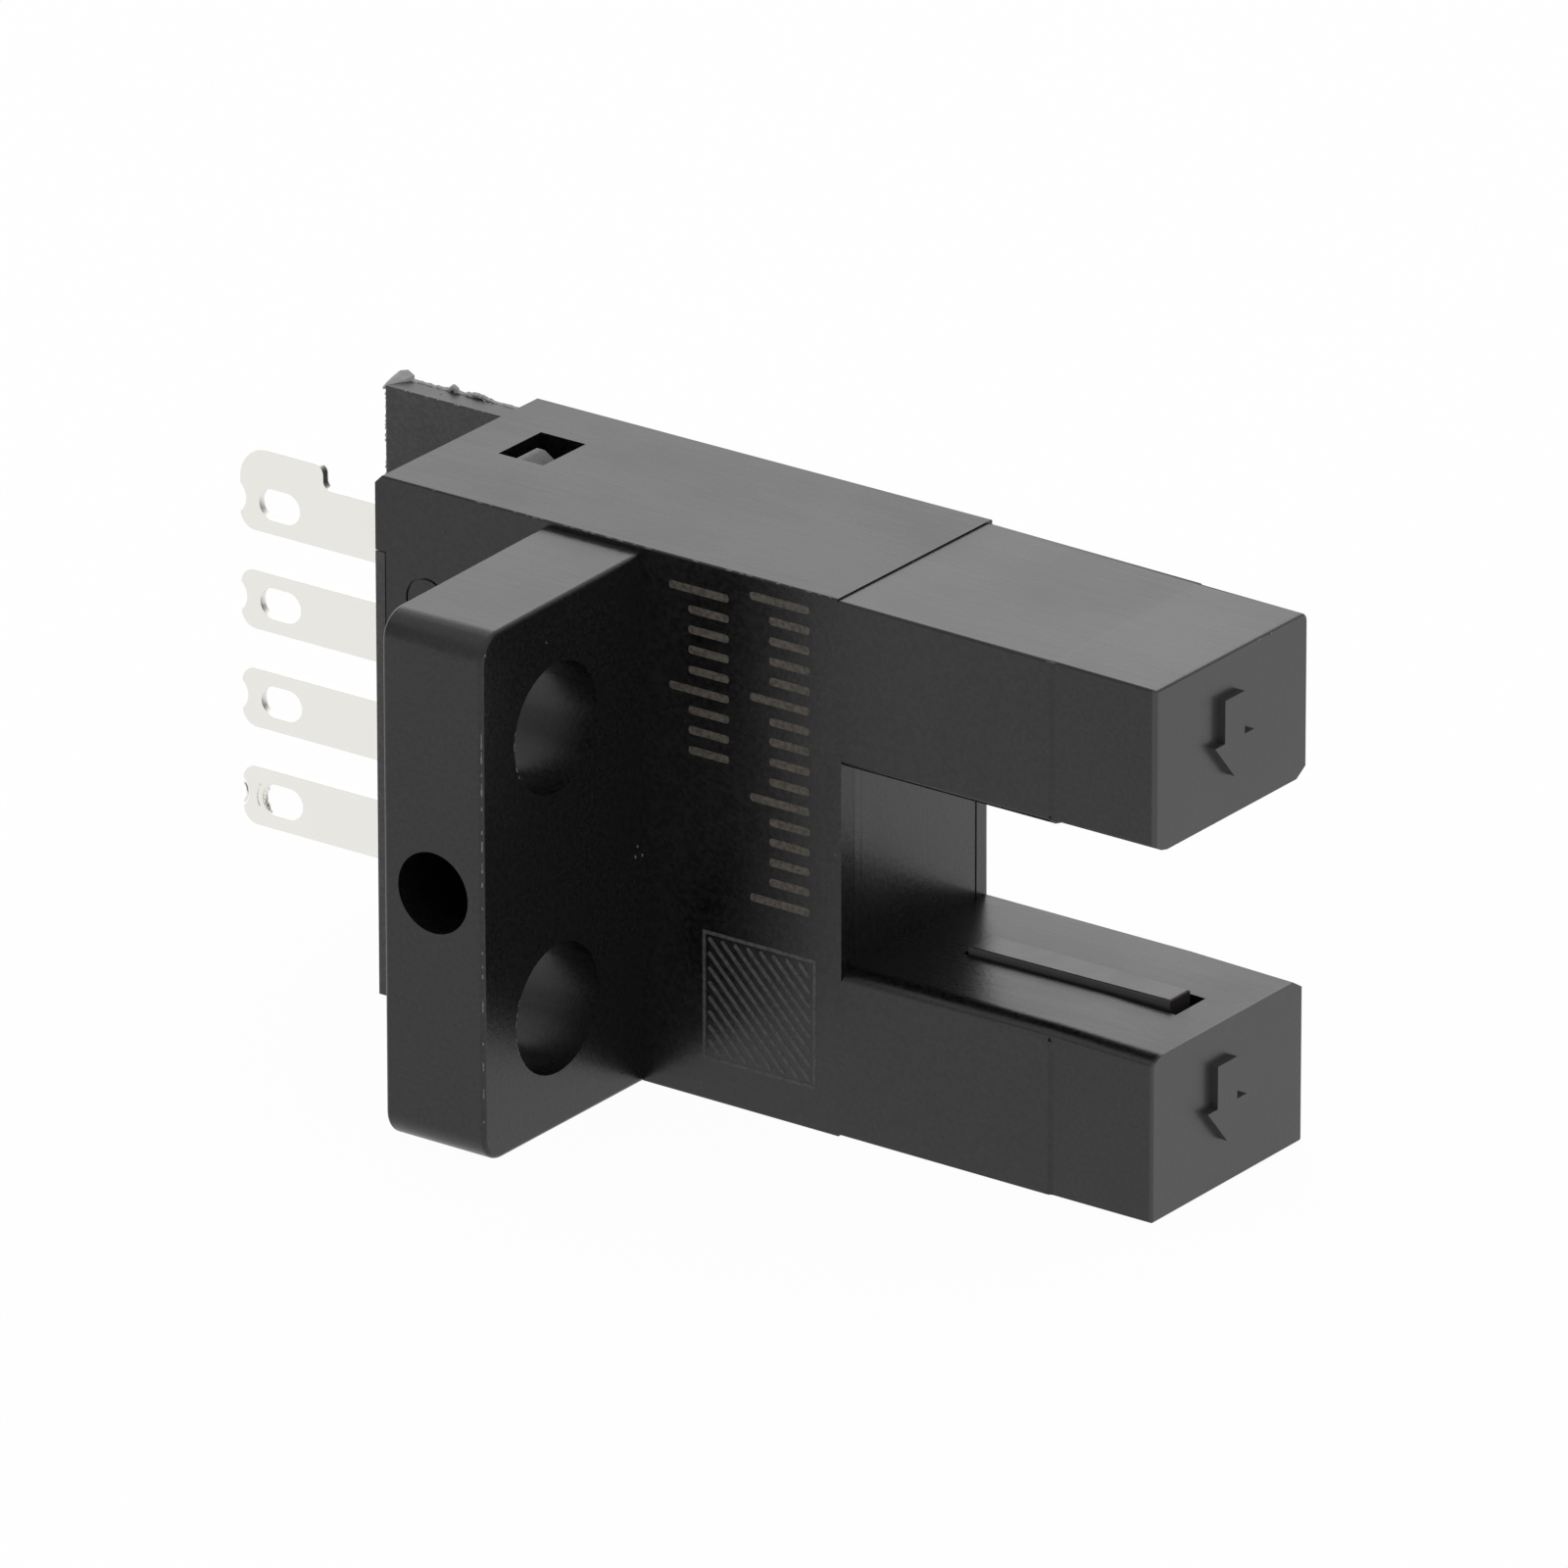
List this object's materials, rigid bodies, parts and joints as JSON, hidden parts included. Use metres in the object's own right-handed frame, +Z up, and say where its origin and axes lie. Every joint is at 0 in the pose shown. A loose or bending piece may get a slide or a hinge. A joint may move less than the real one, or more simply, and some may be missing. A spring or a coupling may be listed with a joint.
{
  "type": "slot photomicrosensor",
  "caption": "Black U-shaped photo-interrupter with a sensing slot between two arms, a side mounting flange with screw holes, and flat solder terminals at the rear.",
  "frame": {"origin": "midway between the two flange holes, on the rear face of the flange", "axes": "+X runs to the tips of the arms, +Y away from the flange and along an object's path through the slot, +Z up, along the line of the two holes"},
  "size_m": [0.0285, 0.0123, 0.0134],
  "materials": {
    "housing": "fine-grained semi-gloss black moulding",
    "base_resin": "semi-gloss black moulding",
    "window_resin": "dark infrared-passing resin",
    "terminal_plate": "bright tin plating",
    "lead_metal": "tin-plated lead frame",
    "solder": "bright solder",
    "board": "green solder mask on glass-epoxy board",
    "emitter_resin": "pale blue clear epoxy",
    "receiver_resin": "dark epoxy",
    "chip_resin": "black moulding compound",
    "ceramic_body": "black-glazed chip resistor",
    "capacitor_body": "tan ceramic",
    "indicator_resin": "red-tinted clear resin"
  },
  "bodies": {
    "root": {"bias_resistor": "ceramic_body", "case": "housing", "circuit_board": "board", "control_chip": "chip_resin", "emitter": "emitter_resin", "emitter_lead_1": "lead_metal", "emitter_lead_2": "lead_metal", "emitter_solder_1": "solder", "emitter_solder_2": "solder", "emitter_window": "window_resin", "indicator_led": "indicator_resin", "led_resistor": "ceramic_body", "output_transistor": "chip_resin", "receiver": "receiver_resin", "receiver_lead_1": "lead_metal", "receiver_lead_2": "lead_metal", "receiver_lead_3": "lead_metal", "receiver_solder_1": "solder", "receiver_solder_2": "solder", "receiver_solder_3": "solder", "receiver_window": "window_resin", "reverse_diode": "chip_resin", "supply_capacitor": "capacitor_body", "surge_diode": "chip_resin", "terminal_1": "terminal_plate", "terminal_2": "terminal_plate", "terminal_3": "terminal_plate", "terminal_4": "terminal_plate", "terminal_base": "base_resin", "terminal_solder_1": "solder", "terminal_solder_2": "solder", "terminal_solder_3": "solder", "terminal_solder_4": "solder", "transistor_lead_1": "lead_metal", "transistor_lead_2": "lead_metal", "transistor_lead_3": "lead_metal"}
  },
  "joints": []
}
